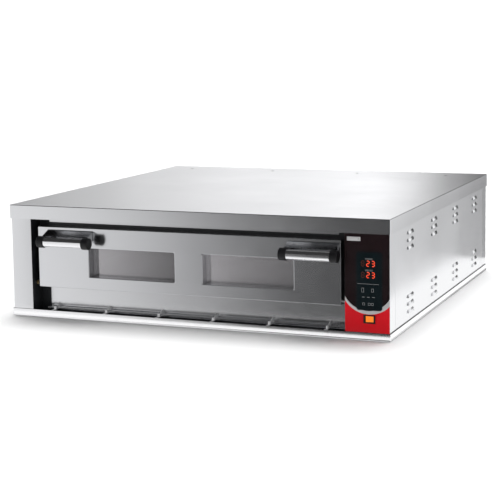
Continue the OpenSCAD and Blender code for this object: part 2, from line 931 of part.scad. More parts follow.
base_tray();
top_cover();
rear_cross_rail();
casing_screws();
left_post();
control_housing();
left_side_panel();
right_side_panel();
rear_cover();
left_niche_wall();
right_niche_wall();
mouth_frame();
upper_recess_panel();
sill_panel();
sill_clips();
bay_wall();
chamber_roof();
chamber_floor();
chamber_left_wall();
chamber_right_wall();
chamber_back_wall();
roof_insulation();
floor_insulation();
left_insulation();
right_insulation();
back_insulation();
deck_stones();
deck_bearers();
upper_heaters();
lower_heaters();
heater_hangers();
temperature_probes();
lamp_housing();
lamp_glass();
lamp_bulb();
mounting_plate();
contactors();
terminal_block();
cable_gland();
upper_fascia();
trim_band();
lower_fascia();
display_lens();
display_board();
blank_badge();
switch_bezel();
power_rocker();
door_outer();
door_inner();
door_insulation();
window_liners();
window_glasses();
door_seal();
hinge_pins();
hinge_bushes();
left_handle_hood();
right_handle_hood();
left_handle_bar();
right_handle_bar();
handle_caps();
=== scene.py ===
# %% [markdown]
# # A countertop pizza oven, given its looks
#
# The oven is already built as exact parts: cabinet, chamber, door and switch. Those parts say where
# everything is. Here we give them their looks. Some parts keep their own shape and only get a better
# finish. The sheet-metal parts that face the viewer are folded again with real bends, because a bend
# is what catches the light on stainless steel.

# %% Load the frame
import json
import math

import bmesh
import bpy
from mathutils import Matrix, Vector


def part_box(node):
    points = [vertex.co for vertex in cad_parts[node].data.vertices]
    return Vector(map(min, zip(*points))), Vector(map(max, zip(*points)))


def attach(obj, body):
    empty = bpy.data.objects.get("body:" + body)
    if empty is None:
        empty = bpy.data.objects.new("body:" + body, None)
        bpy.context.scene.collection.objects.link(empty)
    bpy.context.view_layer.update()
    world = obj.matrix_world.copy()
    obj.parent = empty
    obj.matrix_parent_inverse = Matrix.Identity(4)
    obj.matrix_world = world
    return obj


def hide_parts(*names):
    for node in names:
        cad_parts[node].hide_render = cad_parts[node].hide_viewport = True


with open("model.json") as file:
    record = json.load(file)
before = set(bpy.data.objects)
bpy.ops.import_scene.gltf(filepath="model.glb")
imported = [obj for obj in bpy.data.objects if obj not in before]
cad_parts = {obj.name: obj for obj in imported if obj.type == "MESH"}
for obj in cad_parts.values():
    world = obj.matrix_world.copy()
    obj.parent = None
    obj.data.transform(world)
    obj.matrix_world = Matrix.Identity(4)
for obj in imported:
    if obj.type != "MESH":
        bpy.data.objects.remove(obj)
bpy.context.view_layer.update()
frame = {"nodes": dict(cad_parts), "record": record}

scene = bpy.context.scene

# %% [markdown]
# ## The camera
#
# A long lens stands to the right of the front and a little above the oven, so that the front, the
# louvred side and a thin wedge of the top all show. The camera dips a little, and a shift of the lens
# places the oven in the frame.

# %% Camera
LENS_MM = 100.3
CAMERA_PLACE = Vector((1.8790, -4.7747, 0.9830))
CAMERA_TURN = 0.3860
CAMERA_DIP = 0.1171
CAMERA_ROLL = -0.0148
LENS_SHIFT = -0.12


def add_camera():
    data = bpy.data.cameras.new("camera")
    data.lens = LENS_MM
    data.sensor_width = 36.0
    data.shift_y = LENS_SHIFT
    data.clip_start = 0.1
    data.clip_end = 200.0
    camera = bpy.data.objects.new("camera", data)
    turn = Matrix.Rotation(CAMERA_TURN, 4, "Z")
    dip = Matrix.Rotation(math.pi / 2 - CAMERA_DIP, 4, "X")
    roll = Matrix.Rotation(CAMERA_ROLL, 4, "Z")
    camera.matrix_world = Matrix.Translation(CAMERA_PLACE) @ turn @ dip @ roll
    scene.collection.objects.link(camera)
    scene.camera = camera


add_camera()
scene.view_settings.view_transform = "Standard"
print("camera at", tuple(CAMERA_PLACE), "with a", LENS_MM, "mm lens")

# %% [markdown]
# ## The studio
#
# Brushed steel shows its surroundings more than itself, so the surroundings do most of the work. The
# sky is a ring of pale and dark cards, written as a ramp over the compass direction. The front of
# the oven looks at a ring that is bright on the left and dark ahead. The lamps only light the floor
# and the painted parts, because steel would show them as hard bright patches. One stands low in
# front, one hangs behind, and a wide soft light leans forward so that the shadow falls in front.

# %% World rings
LOW_RING = [  # compass angle from the front in degrees (right is positive), brightness of the card
    (-180, 0.06), (-172, 0.05), (-168, 0.12), (-166, 0.46), (-163.5, 1.26), (-158, 1.06), (-154, 0.84),
    (-151, 0.60), (-147, 0.36), (-140, 0.34), (-125, 0.80), (-60, 1.08), (-37, 1.06), (-31, 0.98),
    (-28, 0.90), (-25.5, 0.55), (-23.5, 0.28), (-21.5, 0.12), (-18.5, 0.045), (-15, 0.035), (5, 0.03),
    (30, 0.30), (50, 1.00), (90, 1.00), (140, 1.10), (158, 1.25), (163, 0.98), (165.5, 0.42),
    (168, 0.15), (173, 0.08), (180, 0.06),
]
HIGH_RING = [  # the same, from about fifteen degrees above the floor upwards
    (-180, 0.10), (-158, 0.04), (-152, 0.30), (-147, 0.85), (-132, 0.85), (-126, 0.30), (-118, 0.04),
    (-25, 0.04), (10, 0.06), (60, 0.35), (120, 0.50), (165, 0.25), (180, 0.10),
]
TURNING = (0.19, 0.34)  # height on the unit sphere where the low ring gives way to the high one
STRIP = (0.30, 0.42, 0.62, 0.74)  # heights of a bright strip behind, which draws a line on bends
STRIP_LEVEL = 1.1
BEHIND = (0.62, 0.74)  # depth on the unit sphere where that strip starts and is full
SKY_GAIN = 2.0  # ramp colours stop at one, so levels are stored divided by this
COOL = 1.01  # blue of the rings against their red and green


def fill_ramp(ramp, stops):
    """Gives a colour ramp its stops: pairs of a place from 0 to 1 and a colour."""
    marks = ramp.color_ramp.elements
    while len(marks) < len(stops):
        marks.new(0.5)
    for mark, (place, colour) in zip(marks, stops):
        mark.position = place
        mark.color = (*colour, 1.0)


def ring_colour(tree, share, ring):
    ramp = tree.nodes.new("ShaderNodeValToRGB")
    ramp.color_ramp.interpolation = "EASE"
    stops = []
    for degrees, level in ring:
        grey = level / SKY_GAIN
        stops.append((degrees / 360.0 + 0.5, (grey, grey, grey * COOL)))
    fill_ramp(ramp, stops)
    tree.links.new(share, ramp.inputs["Fac"])
    return ramp.outputs["Color"]


def add_world():
    world = bpy.data.worlds.new("studio")
    scene.world = world
    world.use_nodes = True
    tree = world.node_tree
    links = tree.links
    where = tree.nodes.new("ShaderNodeTexCoord")
    split = tree.nodes.new("ShaderNodeSeparateXYZ")
    links.new(where.outputs["Generated"], split.inputs[0])
    ahead = tree.nodes.new("ShaderNodeMath")
    ahead.operation = "MULTIPLY"
    ahead.inputs[1].default_value = -1.0
    links.new(split.outputs["Y"], ahead.inputs[0])
    angle = tree.nodes.new("ShaderNodeMath")
    angle.operation = "ARCTAN2"
    links.new(split.outputs["X"], angle.inputs[0])
    links.new(ahead.outputs[0], angle.inputs[1])
    share = tree.nodes.new("ShaderNodeMapRange")
    share.inputs["From Min"].default_value = -math.pi
    share.inputs["From Max"].default_value = math.pi
    links.new(angle.outputs[0], share.inputs["Value"])
    climb = tree.nodes.new("ShaderNodeMapRange")
    climb.inputs["From Min"].default_value = TURNING[0]
    climb.inputs["From Max"].default_value = TURNING[1]
    links.new(split.outputs["Z"], climb.inputs["Value"])
    both = tree.nodes.new("ShaderNodeMix")
    both.data_type = "RGBA"
    links.new(climb.outputs[0], both.inputs["Factor"])
    links.new(ring_colour(tree, share.outputs[0], LOW_RING), both.inputs[6])
    links.new(ring_colour(tree, share.outputs[0], HIGH_RING), both.inputs[7])
    strip = tree.nodes.new("ShaderNodeValToRGB")
    fill_ramp(strip, [(place, (level, level, level)) for place, level in zip(STRIP, (0, 1, 1, 0))])
    links.new(split.outputs["Z"], strip.inputs["Fac"])
    behind = tree.nodes.new("ShaderNodeMapRange")
    behind.inputs["From Min"].default_value = BEHIND[0]
    behind.inputs["From Max"].default_value = BEHIND[1]
    links.new(split.outputs["Y"], behind.inputs["Value"])
    masked = tree.nodes.new("ShaderNodeMath")
    masked.operation = "MULTIPLY"
    links.new(strip.outputs["Color"], masked.inputs[0])
    links.new(behind.outputs[0], masked.inputs[1])
    lined = tree.nodes.new("ShaderNodeMix")
    lined.data_type = "RGBA"
    links.new(masked.outputs[0], lined.inputs["Factor"])
    links.new(both.outputs[2], lined.inputs[6])
    bright = STRIP_LEVEL / SKY_GAIN
    lined.inputs[7].default_value = (bright, bright, bright, 1.0)
    sky = tree.nodes["Background"]
    sky.inputs["Strength"].default_value = SKY_GAIN
    links.new(lined.outputs[2], sky.inputs["Color"])


add_world()

# %% Floor, backdrop and lamps


def plane(name, low, high, height, material):
    bm = bmesh.new()
    verts = bmesh.ops.create_grid(bm, x_segments=1, y_segments=1, size=0.5)["verts"]
    bmesh.ops.scale(bm, vec=(high[0] - low[0], high[1] - low[1], 1.0), verts=verts)
    middle = ((low[0] + high[0]) / 2, (low[1] + high[1]) / 2, height)
    bmesh.ops.translate(bm, vec=middle, verts=verts)
    mesh = bpy.data.meshes.new(name)
    bm.to_mesh(mesh)
    bm.free()
    mesh.materials.append(material)
    obj = bpy.data.objects.new(name, mesh)
    scene.collection.objects.link(obj)
    return obj


def floor_material():
    mat = bpy.data.materials.new("pale_floor")
    mat.use_nodes = True
    shader = mat.node_tree.nodes["Principled BSDF"]
    shader.inputs["Base Color"].default_value = (0.93, 0.93, 0.93, 1.0)
    shader.inputs["Roughness"].default_value = 0.9
    return mat


def card_material(name, level):
    mat = bpy.data.materials.new(name)
    mat.use_nodes = True
    shader = mat.node_tree.nodes["Principled BSDF"]
    shader.inputs["Base Color"].default_value = (0.0, 0.0, 0.0, 1.0)
    shader.inputs["Emission Color"].default_value = (1.0, 1.0, 1.0, 1.0)
    shader.inputs["Emission Strength"].default_value = level
    return mat


def lamp(name, place, aim, size, power):
    data = bpy.data.lights.new(name, "AREA")
    data.shape = "RECTANGLE"
    data.size, data.size_y = size
    data.energy = power
    obj = bpy.data.objects.new(name, data)
    obj.location = place
    obj.rotation_euler = (Vector(aim) - Vector(place)).to_track_quat("-Z", "Y").to_euler()
    obj.visible_glossy = False
    scene.collection.objects.link(obj)


FAR_BACK = 39.0
CARD_LIFT = 0.0005
floor = plane("floor", (-40, -40), (40, 40), 0.0, floor_material())
floor.visible_glossy = False
for name, low, high, level in (("front_card", (-1.2, -0.78), (1.2, -0.70), 1.10),
                               ("side_card", (0.69, -0.69), (0.86, 0.95), 1.10)):
    card = plane(name, low, high, CARD_LIFT, card_material("pale_" + name, level))
    card.visible_camera = False
    card.visible_diffuse = False
    card.visible_shadow = False
backdrop = plane("backdrop", (-60, -60), (60, 60), 0.0, card_material("pale_backdrop", 1.2))
backdrop.rotation_euler = (math.pi / 2, 0, 0)
backdrop.location = (0, FAR_BACK, 0)
backdrop.visible_glossy = False
backdrop.visible_diffuse = False
backdrop.visible_shadow = False
lamp("key_lamp", (-1.4, -4.6, 1.5), (0, -0.6, 0.2), (2.4, 1.2), 46)
lamp("fill_lamp", (2.8, 1.6, 4.6), (0, 0, 0.1), (4.0, 3.0), 30)
sun = bpy.data.lights.new("even_light", "SUN")
sun.energy = 3.1
sun.angle = math.radians(40)
even = bpy.data.objects.new("even_light", sun)
even.rotation_euler = (math.radians(-18), math.radians(-5), 0)
even.visible_glossy = False
scene.collection.objects.link(even)
print("stage: floor, two cards, backdrop, two lamps and an even light")

# %% [markdown]
# ## Finishes
#
# Every finish is a small graph of nodes on the part's own coordinates. Brushed sheet needs three
# layers: fine lines stretched along the rolling direction, a slow cloudiness where hands and cloths
# have been, and a little waviness, because thin sheet is never truly flat.

# %% Node helpers


class Graph:
    """A material's node tree with short calls for what the finishes below share."""

    def __init__(self, name):
        self.material = bpy.data.materials.new(name)
        self.material.use_nodes = True
        self.tree = self.material.node_tree
        self.shader = self.tree.nodes["Principled BSDF"]
        where = self.tree.nodes.new("ShaderNodeTexCoord")
        self.place = where.outputs["Object"]

    def value(self, socket, amount):
        self.shader.inputs[socket].default_value = amount

    def stretched(self, scale):
        mapping = self.tree.nodes.new("ShaderNodeMapping")
        mapping.inputs["Scale"].default_value = scale
        self.tree.links.new(self.place, mapping.inputs["Vector"])
        return mapping.outputs[0]

    def noise(self, scale, stretch=(1, 1, 1), detail=4.0, rough=0.6):
        node = self.tree.nodes.new("ShaderNodeTexNoise")
        node.inputs["Scale"].default_value = scale
        node.inputs["Detail"].default_value = detail
        node.inputs["Roughness"].default_value = rough
        self.tree.links.new(self.stretched(stretch), node.inputs["Vector"])
        return node.outputs["Fac"]

    def spread(self, source, low, high, start=0.3, end=0.7):
        node = self.tree.nodes.new("ShaderNodeMapRange")
        node.inputs["From Min"].default_value = start
        node.inputs["From Max"].default_value = end
        node.inputs["To Min"].default_value = low
        node.inputs["To Max"].default_value = high
        self.tree.links.new(source, node.inputs["Value"])
        return node.outputs[0]

    def add(self, one, two, operation="ADD"):
        node = self.tree.nodes.new("ShaderNodeMath")
        node.operation = operation
        self.tree.links.new(one, node.inputs[0])
        self.tree.links.new(two, node.inputs[1])
        return node.outputs[0]

    def blend(self, factor, dark, light):
        node = self.tree.nodes.new("ShaderNodeMix")
        node.data_type = "RGBA"
        self.tree.links.new(factor, node.inputs["Factor"])
        for socket, colour in ((node.inputs[6], dark), (node.inputs[7], light)):
            if hasattr(colour, "default_value"):
                self.tree.links.new(colour, socket)
            else:
                socket.default_value = (*colour, 1.0)
        return node.outputs[2]

    def feed(self, source, socket):
        self.tree.links.new(source, self.shader.inputs[socket])

    def bump(self, height, distance, strength=0.6, under=None):
        node = self.tree.nodes.new("ShaderNodeBump")
        node.inputs["Distance"].default_value = distance
        node.inputs["Strength"].default_value = strength
        self.tree.links.new(height, node.inputs["Height"])
        if under is not None:
            self.tree.links.new(under, node.inputs["Normal"])
        return node.outputs[0]


FINISH = {}


def brushed(slot, light, dark, rough, along="X", grain=0.02, wave=0.0004):
    """Brushed stainless sheet, its lines running along one axis."""
    g = Graph(slot + ("" if along == "X" else "_" + along.lower()))
    stretch = {"X": (0.02, 1.0, 1.0), "Y": (1.0, 0.02, 1.0), "Z": (1.0, 1.0, 0.02)}[along]
    lines = g.noise(900.0, stretch, 3.0)
    clouds = g.noise(2.6, (1, 1, 1), 5.0)
    dents = g.noise(1.7, (1, 1, 1), 1.0)
    g.value("Metallic", 1.0)
    tone = g.add(g.spread(lines, -0.12, 0.12), g.spread(clouds, 0.35, 0.65))
    g.feed(g.blend(tone, dark, light), "Base Color")
    dull = g.add(g.spread(lines, -grain, grain), g.spread(clouds, rough - 0.03, rough + 0.03))
    g.feed(dull, "Roughness")
    waves = g.bump(dents, wave, 1.0)
    g.feed(g.bump(lines, 0.00001, 0.2, waves), "Normal")
    return g.material


def painted(slot, colour, rough, texture=500.0, depth=0.00005, metallic=0.0, shine=0.5, vary=0.15):
    """Paint, plastic or coated sheet: an even colour with a fine skin and a slow change of gloss."""
    g = Graph(slot)
    skin = g.noise(texture, (1, 1, 1), 3.0)
    clouds = g.noise(9.0, (1, 1, 1), 4.0)
    paler = tuple(min(1.0, c * (1 + vary) + 0.004) for c in colour)
    g.feed(g.blend(g.spread(clouds, 0, 1), colour, paler), "Base Color")
    g.feed(g.spread(clouds, rough - 0.05, rough + 0.06), "Roughness")
    g.feed(g.bump(skin, depth, 0.5), "Normal")
    g.value("Metallic", metallic)
    g.value("Specular IOR Level", shine)
    return g.material


STEEL_LIGHT = (0.80, 0.805, 0.815)
STEEL_DARK = (0.68, 0.685, 0.70)
FINISH["brushed_stainless"] = brushed("brushed_stainless", STEEL_LIGHT, STEEL_DARK, 0.19)
FINISH["bright_stainless"] = brushed("bright_stainless", (0.92, 0.92, 0.93), (0.82, 0.82, 0.83), 0.16)
FINISH["door_stainless"] = brushed("door_stainless", (0.76, 0.765, 0.78), (0.66, 0.665, 0.68), 0.17)
FINISH["coated_steel"] = painted("coated_steel", (0.50, 0.51, 0.52), 0.45, 60.0, 0.00008, 0.8)
FINISH["black_enamel"] = painted("black_enamel", (0.012, 0.013, 0.015), 0.32, 300.0, 0.00006)
FINISH["black_plastic"] = painted("black_plastic", (0.005, 0.005, 0.006), 0.42, 900.0, 0.00004, 0.0, 0.35)
FINISH["ivory_plastic"] = painted("ivory_plastic", (0.80, 0.76, 0.64), 0.45, 900.0, 0.00004)
FINISH["black_fascia"] = painted("black_fascia", (0.011, 0.005, 0.006), 0.13, 700.0, 0.00001)
FINISH["red_fascia"] = painted("red_fascia", (0.68, 0.002, 0.010), 0.20, 700.0, 0.00001, 0.0, 0.25, 0.04)
FINISH["silver_print"] = painted("silver_print", (0.60, 0.60, 0.60), 0.30, 700.0, 0.00001, 0.35)
FINISH["display_glass"] = painted("display_glass", (0.003, 0.008, 0.010), 0.08, 400.0, 0.000004)
FINISH["circuit_board"] = painted("circuit_board", (0.02, 0.16, 0.07), 0.35, 120.0, 0.0001)
FINISH["screw_steel"] = brushed("screw_steel", (0.16, 0.16, 0.17), (0.07, 0.07, 0.075), 0.35)
FINISH["bush_bronze"] = brushed("bush_bronze", (0.62, 0.44, 0.22), (0.45, 0.30, 0.13), 0.32)
FINISH["lamp_ceramic"] = painted("lamp_ceramic", (0.80, 0.78, 0.72), 0.35, 200.0, 0.00005)
FINISH["seal_rope"] = painted("seal_rope", (0.20, 0.19, 0.17), 0.85, 700.0, 0.0006)
print("finishes so far:", len(FINISH))

# %% [markdown]
# ## Finishes that heat has changed
#
# Inside the chamber nothing stays bright. The sheet turns straw and grey, the heaters are nearly
# black, and the stones carry flour and scorch marks. These are the same noises with warmer colours
# and rougher skins. The door glass is made here too; its brightness along the door is painted reflection.

# %% Hot finishes


def scorched(slot, clean, burnt, rough, metallic, pits, depth):
    g = Graph(slot)
    patches = g.noise(5.0, (1, 1, 1), 6.0, 0.7)
    grit = g.noise(pits, (1, 1, 1), 5.0, 0.7)
    g.feed(g.blend(g.spread(patches, 0, 1, 0.35, 0.72), clean, burnt), "Base Color")
    g.feed(g.spread(grit, rough - 0.08, rough + 0.08), "Roughness")
    g.feed(g.bump(grit, depth, 0.7), "Normal")
    g.value("Metallic", metallic)
    return g.material


GLASS_REFLECTION_LEVELS = [  # place along the door in metres, brightness of the glass there: painted reflection
    (-0.39, 0.50), (-0.24, 0.37), (-0.07, 0.25), (0.03, 0.98), (0.16, 0.86), (0.36, 0.82),
]
VIOLET = 0.975  # green of the painted reflection levels against their red and blue


def sheet_glass():
    """Tinted oven glass: a dark mirror whose brightness along the door is painted reflection, and a
    little see-through.
    """
    g = Graph("oven_glass")
    smears = g.noise(6.0, (1, 1, 3), 4.0)
    split = g.tree.nodes.new("ShaderNodeSeparateXYZ")
    g.tree.links.new(g.place, split.inputs[0])
    # Painted reflection: the glass is made lighter or darker along the door to stand in for what it
    # mirrors.
    along = g.spread(split.outputs["X"], 0.0, 1.0, GLASS_REFLECTION_LEVELS[0][0], GLASS_REFLECTION_LEVELS[-1][0])
    ramp = g.tree.nodes.new("ShaderNodeValToRGB")
    start, end = GLASS_REFLECTION_LEVELS[0][0], GLASS_REFLECTION_LEVELS[-1][0]
    fill_ramp(ramp, [((x - start) / (end - start), (level, level * VIOLET, level))
                     for x, level in GLASS_REFLECTION_LEVELS])
    g.tree.links.new(along, ramp.inputs["Fac"])
    g.feed(g.blend(g.spread(smears, 0.0, 0.12), ramp.outputs["Color"], (0.60, 0.59, 0.61)), "Base Color")
    g.feed(g.spread(smears, 0.06, 0.14), "Roughness")
    g.value("Metallic", 0.85)
    g.value("Alpha", 0.80)
    return g.material


def clear_glass():
    g = Graph("lamp_glass")
    ripple = g.noise(60.0, (1, 1, 1), 2.0)
    g.feed(g.spread(ripple, 0.03, 0.10), "Roughness")
    g.feed(g.bump(ripple, 0.0002, 0.4), "Normal")
    g.value("Base Color", (0.90, 0.93, 0.92, 1.0))
    g.value("Alpha", 0.45)
    return g.material


def lit_plastic(name, colour, glow, strength):
    g = Graph(name)
    cloud = g.noise(120.0, (1, 1, 1), 2.0)
    g.feed(g.spread(cloud, 0.18, 0.30), "Roughness")
    g.value("Base Color", (*colour, 1.0))
    g.value("Emission Color", (*glow, 1.0))
    g.value("Emission Strength", strength)
    return g.material


for slot, clean, burnt, rough, metallic, pits, depth in (
        ("chamber_steel", (0.48, 0.47, 0.45), (0.27, 0.22, 0.17), 0.45, 0.9, 90.0, 0.0001),
        ("heater_sheath", (0.17, 0.16, 0.15), (0.10, 0.07, 0.05), 0.55, 0.7, 300.0, 0.0001),
        ("refractory", (0.62, 0.53, 0.41), (0.33, 0.25, 0.17), 0.9, 0.0, 400.0, 0.0006),
        ("mineral_wool", (0.66, 0.58, 0.36), (0.50, 0.42, 0.24), 0.95, 0.0, 250.0, 0.003)):
    FINISH[slot] = scorched(slot, clean, burnt, rough, metallic, pits, depth)
FINISH["oven_glass"] = sheet_glass()
FINISH["lamp_glass"] = clear_glass()
FINISH["amber_light"] = lit_plastic("amber_light", (0.85, 0.20, 0.01), (1.0, 0.25, 0.02), 0.55)
FIGURE_LIGHT = lit_plastic("figure_light", (0.60, 0.03, 0.01), (1.0, 0.09, 0.03), 0.9)
DIM_PRINT = painted("dim_print", (0.20, 0.20, 0.20), 0.35, 700.0, 0.00001)
GHOST_LIGHT = lit_plastic("ghost_light", (0.05, 0.012, 0.008), (1.0, 0.20, 0.10), 0.03)
# The sill clips: whiter and less metallic than the steel, a painted highlight.
CLIP_HIGHLIGHT_PAINT = painted("clips_painted_highlight", (0.90, 0.90, 0.91), 0.25, 300.0, 0.00002, 0.4)
SIDE_STEEL = brushed("brushed_stainless", STEEL_LIGHT, STEEL_DARK, 0.22, along="Y")

# %% [markdown]
# ## Dressing the parts that keep their shape
#
# Each exact part has a slot name in its record, and the slot picks the finish. The side panels were
# brushed front to back, so they take the turned version of the same steel. The small brackets on the
# sill get a whiter, half-metallic finish, a painted highlight that makes them read stark white.

# %% Give each part its finish
TURNED = ("left_side_panel", "right_side_panel")
for row in frame["record"]["subparts"]:
    part = frame["nodes"][row["node"]]
    finish = SIDE_STEEL if row["node"] in TURNED else FINISH[row["material_slot"]]
    # Painted highlight: the clips take the whiter finish so that they show stark white.
    if row["node"] == "sill_clips":
        finish = CLIP_HIGHLIGHT_PAINT
    for place in part.material_slots:
        place.link = "OBJECT"
        place.material = finish

# %% [markdown]
# ## Tools for sheet metal and trim
#
# Every new part starts as a plain block, rod, grid or folded line, and is then bent, bevelled or
# hollowed. Sizes are in metres and come from the boxes of the exact parts wherever one exists. Big
# flat faces keep flat shading up to their round edges, because normals are weighted by face area.

# %% Shaping tools
MM = 0.001
SHEET = 1.5 * MM
TURN = {"X": Matrix.Rotation(math.pi / 2, 4, "Y"), "Z": Matrix.Identity(4)}


def edges_of(verts):
    return list({edge for vert in verts for edge in vert.link_edges})


def running(verts, axis):
    """The edges at these corners that run along axis 0, 1 or 2."""
    found = []
    for edge in edges_of(verts):
        way = (edge.verts[1].co - edge.verts[0].co).normalized()
        if abs(way[axis]) > 0.99:
            found.append(edge)
    return found


def round_edges(bm, edges, radius, segments=3):
    bmesh.ops.bevel(bm, geom=edges, offset=radius, offset_type="OFFSET", segments=segments,
                    profile=0.5, affect="EDGES", material=-1, clamp_overlap=True)


def corners(bm, least=1.2):
    return [edge for edge in bm.edges if len(edge.link_faces) == 2 and edge.calc_face_angle() > least]


def block(bm, low, high):
    verts = bmesh.ops.create_cube(bm, size=1.0)["verts"]
    low, high = Vector(low), Vector(high)
    bmesh.ops.scale(bm, vec=high - low, verts=verts)
    bmesh.ops.translate(bm, vec=(low + high) / 2, verts=verts)
    return verts


def rod(bm, axis, middle, length, radius, rim=0.0, sides=64):
    place = Matrix.Translation(middle) @ TURN[axis]
    verts = bmesh.ops.create_cone(bm, cap_ends=True, segments=sides, radius1=radius, radius2=radius,
                                  depth=length, matrix=place)["verts"]
    if rim:
        rims = [e for e in edges_of(verts) if e.calc_face_angle() > 1.2]
        round_edges(bm, rims, rim, 4)


def folded(points, axis, start, end, bend):
    """Sheet folded along a line of points, drawn out along X or Z, with round bends."""
    bm = bmesh.new()
    if axis == "X":
        spots = [(start, a, b) for a, b in points]
        shift = (end - start, 0, 0)
    else:
        spots = [(a, b, start) for a, b in points]
        shift = (0, 0, end - start)
    verts = [bm.verts.new(spot) for spot in spots]
    edges = [bm.edges.new(pair) for pair in zip(verts, verts[1:])]
    made = bmesh.ops.extrude_edge_only(bm, edges=edges)["geom"]
    bmesh.ops.translate(bm, vec=shift, verts=[v for v in made if isinstance(v, bmesh.types.BMVert)])
    round_edges(bm, [e for e in bm.edges if len(e.link_faces) == 2], bend, 5)
    return bm


def face_towards(bm, way):
    """Turns an open sheet so that its outer side looks along way."""
    bm.normal_update()
    total = sum((f.normal * f.calc_area() for f in bm.faces), Vector())
    if total.dot(Vector(way)) < 0:
        bmesh.ops.reverse_faces(bm, faces=bm.faces)


def make(name, bm, finish, body, nodes=(), wall=0.0, outward=None):
    if outward is None:
        bmesh.ops.recalc_face_normals(bm, faces=bm.faces)
    else:
        face_towards(bm, outward)
    mesh = bpy.data.meshes.new(name)
    bm.to_mesh(mesh)
    bm.free()
    mesh.materials.append(finish)
    mesh.shade_smooth()
    mesh.set_sharp_from_angle(angle=math.radians(35))
    obj = bpy.data.objects.new(name, mesh)
    scene.collection.objects.link(obj)
    if wall:
        thick = obj.modifiers.new("wall", "SOLIDIFY")
        thick.thickness = wall
        thick.offset = -1.0
        thick.use_even_offset = True
    flat = obj.modifiers.new("flat_faces", "WEIGHTED_NORMAL")
    flat.keep_sharp = True
    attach(obj, body)
    if nodes:
        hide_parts(*nodes)
    return obj


def soften(node, width, segments=2):
    """Breaks the edges of an exact part that keeps its shape."""
    part = frame["nodes"][node]
    weld = part.modifiers.new("weld", "WELD")
    weld.merge_threshold = 0.00001
    bevel = part.modifiers.new("edges", "BEVEL")
    bevel.width = width
    bevel.segments = segments
    bevel.limit_method = "ANGLE"
    bevel.angle_limit = math.radians(50)
    bevel.harden_normals = True


# %% [markdown]
# ## Cover, base tray and corner posts
#
# The cover is a shallow pan turned over, and the base is the same pan the right way up. Both get
# 3 mm bends, then the thickness of their sheet. The left post is folded in plan around the corner.

# %% Pans and posts
SCREW_PROUD = 0.4 * MM
PAN_BEND = 3 * MM
LEDGE_DROP = 71 * MM  # from the top of the sill panel down to its ledge


def pan(name, node, open_side, bend, top_gap=0.0):
    low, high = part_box(node)
    bm = bmesh.new()
    block(bm, low, high - Vector((0, 0, top_gap)))
    lid = [f for f in bm.faces if f.normal.z * open_side > 0.9]
    bmesh.ops.delete(bm, geom=lid, context="FACES_ONLY")
    round_edges(bm, corners(bm), bend, 5)
    return make(name, bm, FINISH[SLOT_OF[node]], "cabinet", [node], wall=SHEET)


SLOT_OF = {row["node"]: row["material_slot"] for row in frame["record"]["subparts"]}
pan("cover", "top_cover", -1, PAN_BEND, SCREW_PROUD)
pan("tray", "base_tray", 1, PAN_BEND)

low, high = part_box("left_post")
post_line = [(low.x, high.y), (low.x, low.y), (high.x, low.y)]
make("front_post", folded(post_line, "Z", low.z, high.z, PAN_BEND), FINISH["brushed_stainless"],
     "cabinet", ["left_post"], wall=SHEET, outward=(-1, -1, 0))

low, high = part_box("sill_panel")
ledge_z = high.z - LEDGE_DROP
sill_line = [(high.y - SHEET, high.z), (high.y - SHEET, ledge_z), (low.y, ledge_z), (low.y, low.z)]
make("sill", folded(sill_line, "X", low.x, high.x, 2.5 * MM), FINISH["brushed_stainless"],
     "cabinet", ["sill_panel"], wall=SHEET, outward=(0, -1, 1))

for node, width in (("control_housing", 1.2), ("left_side_panel", 0.5), ("right_side_panel", 0.5),
                    ("rear_cover", 0.6), ("mouth_frame", 0.6), ("upper_recess_panel", 0.5),
                    ("sill_clips", 0.4), ("deck_stones", 1.5), ("door_seal", 2.5),
                    ("door_inner", 0.6), ("hinge_pins", 0.8), ("hinge_bushes", 0.6),
                    ("upper_fascia", 0.3), ("lower_fascia", 0.3), ("trim_band", 0.2),
                    ("blank_badge", 0.3), ("switch_bezel", 0.4), ("power_rocker", 0.5),
                    ("cable_gland", 0.8)):
    soften(node, width * MM)
print("cover and tray bent, and", len(frame["nodes"]), "exact parts in place")

# %% [markdown]
# Four screws hold the cover at the back. Each has a flat head with a broken edge and a sunk drive.

# %% Cover screws
low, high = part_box("casing_screws")
SCREW_R = 6 * MM
SCREWS = 4
HEAD_H = 2 * MM
LEAST_TOP = 60 * MM * MM  # bigger than any facet of the rim, smaller than a head's flat
bm = bmesh.new()
screw_y = (low.y + high.y) / 2
for index in range(SCREWS):
    x = low.x + SCREW_R + index * (high.x - low.x - 2 * SCREW_R) / (SCREWS - 1)
    rod(bm, "Z", (x, screw_y, high.z - HEAD_H / 2), HEAD_H, SCREW_R, 0.3 * MM, 32)
tops = [f for f in bm.faces if f.normal.z > 0.99 and f.calc_area() > LEAST_TOP]
bmesh.ops.inset_individual(bm, faces=tops, thickness=3 * MM, depth=0.0)
bmesh.ops.inset_individual(bm, faces=tops, thickness=0.3 * MM, depth=-1.0 * MM)
make("cover_screws", bm, FINISH["screw_steel"], "cabinet", ["casing_screws"])
print("screws:", SCREWS, "drives sunk:", len(tops))

# %% [markdown]
# ## The door
#
# The door's skin is one sheet. It starts as a grid in the plane of the face. The two windows are
# cut out, and the rims of the face and of the windows are turned back and rounded.

# %% Door skin
face_low, face_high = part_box("door_outer")
liner_low, liner_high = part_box("window_liners")
glass_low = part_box("window_glasses")[0]
WINDOW_W = 320 * MM
window_x = [(liner_low.x + SHEET, liner_low.x + SHEET + WINDOW_W),
            (liner_high.x - SHEET - WINDOW_W, liner_high.x - SHEET)]
window_z = (liner_low.z + SHEET, liner_high.z - SHEET)


def in_window(point):
    wide = any(a < point.x < b for a, b in window_x)
    return wide and window_z[0] < point.z < window_z[1]


def turn_back(bm, edges, depth):
    made = bmesh.ops.extrude_edge_only(bm, edges=edges)["geom"]
    far = [v for v in made if isinstance(v, bmesh.types.BMVert)]
    bmesh.ops.translate(bm, vec=(0, depth, 0), verts=far)


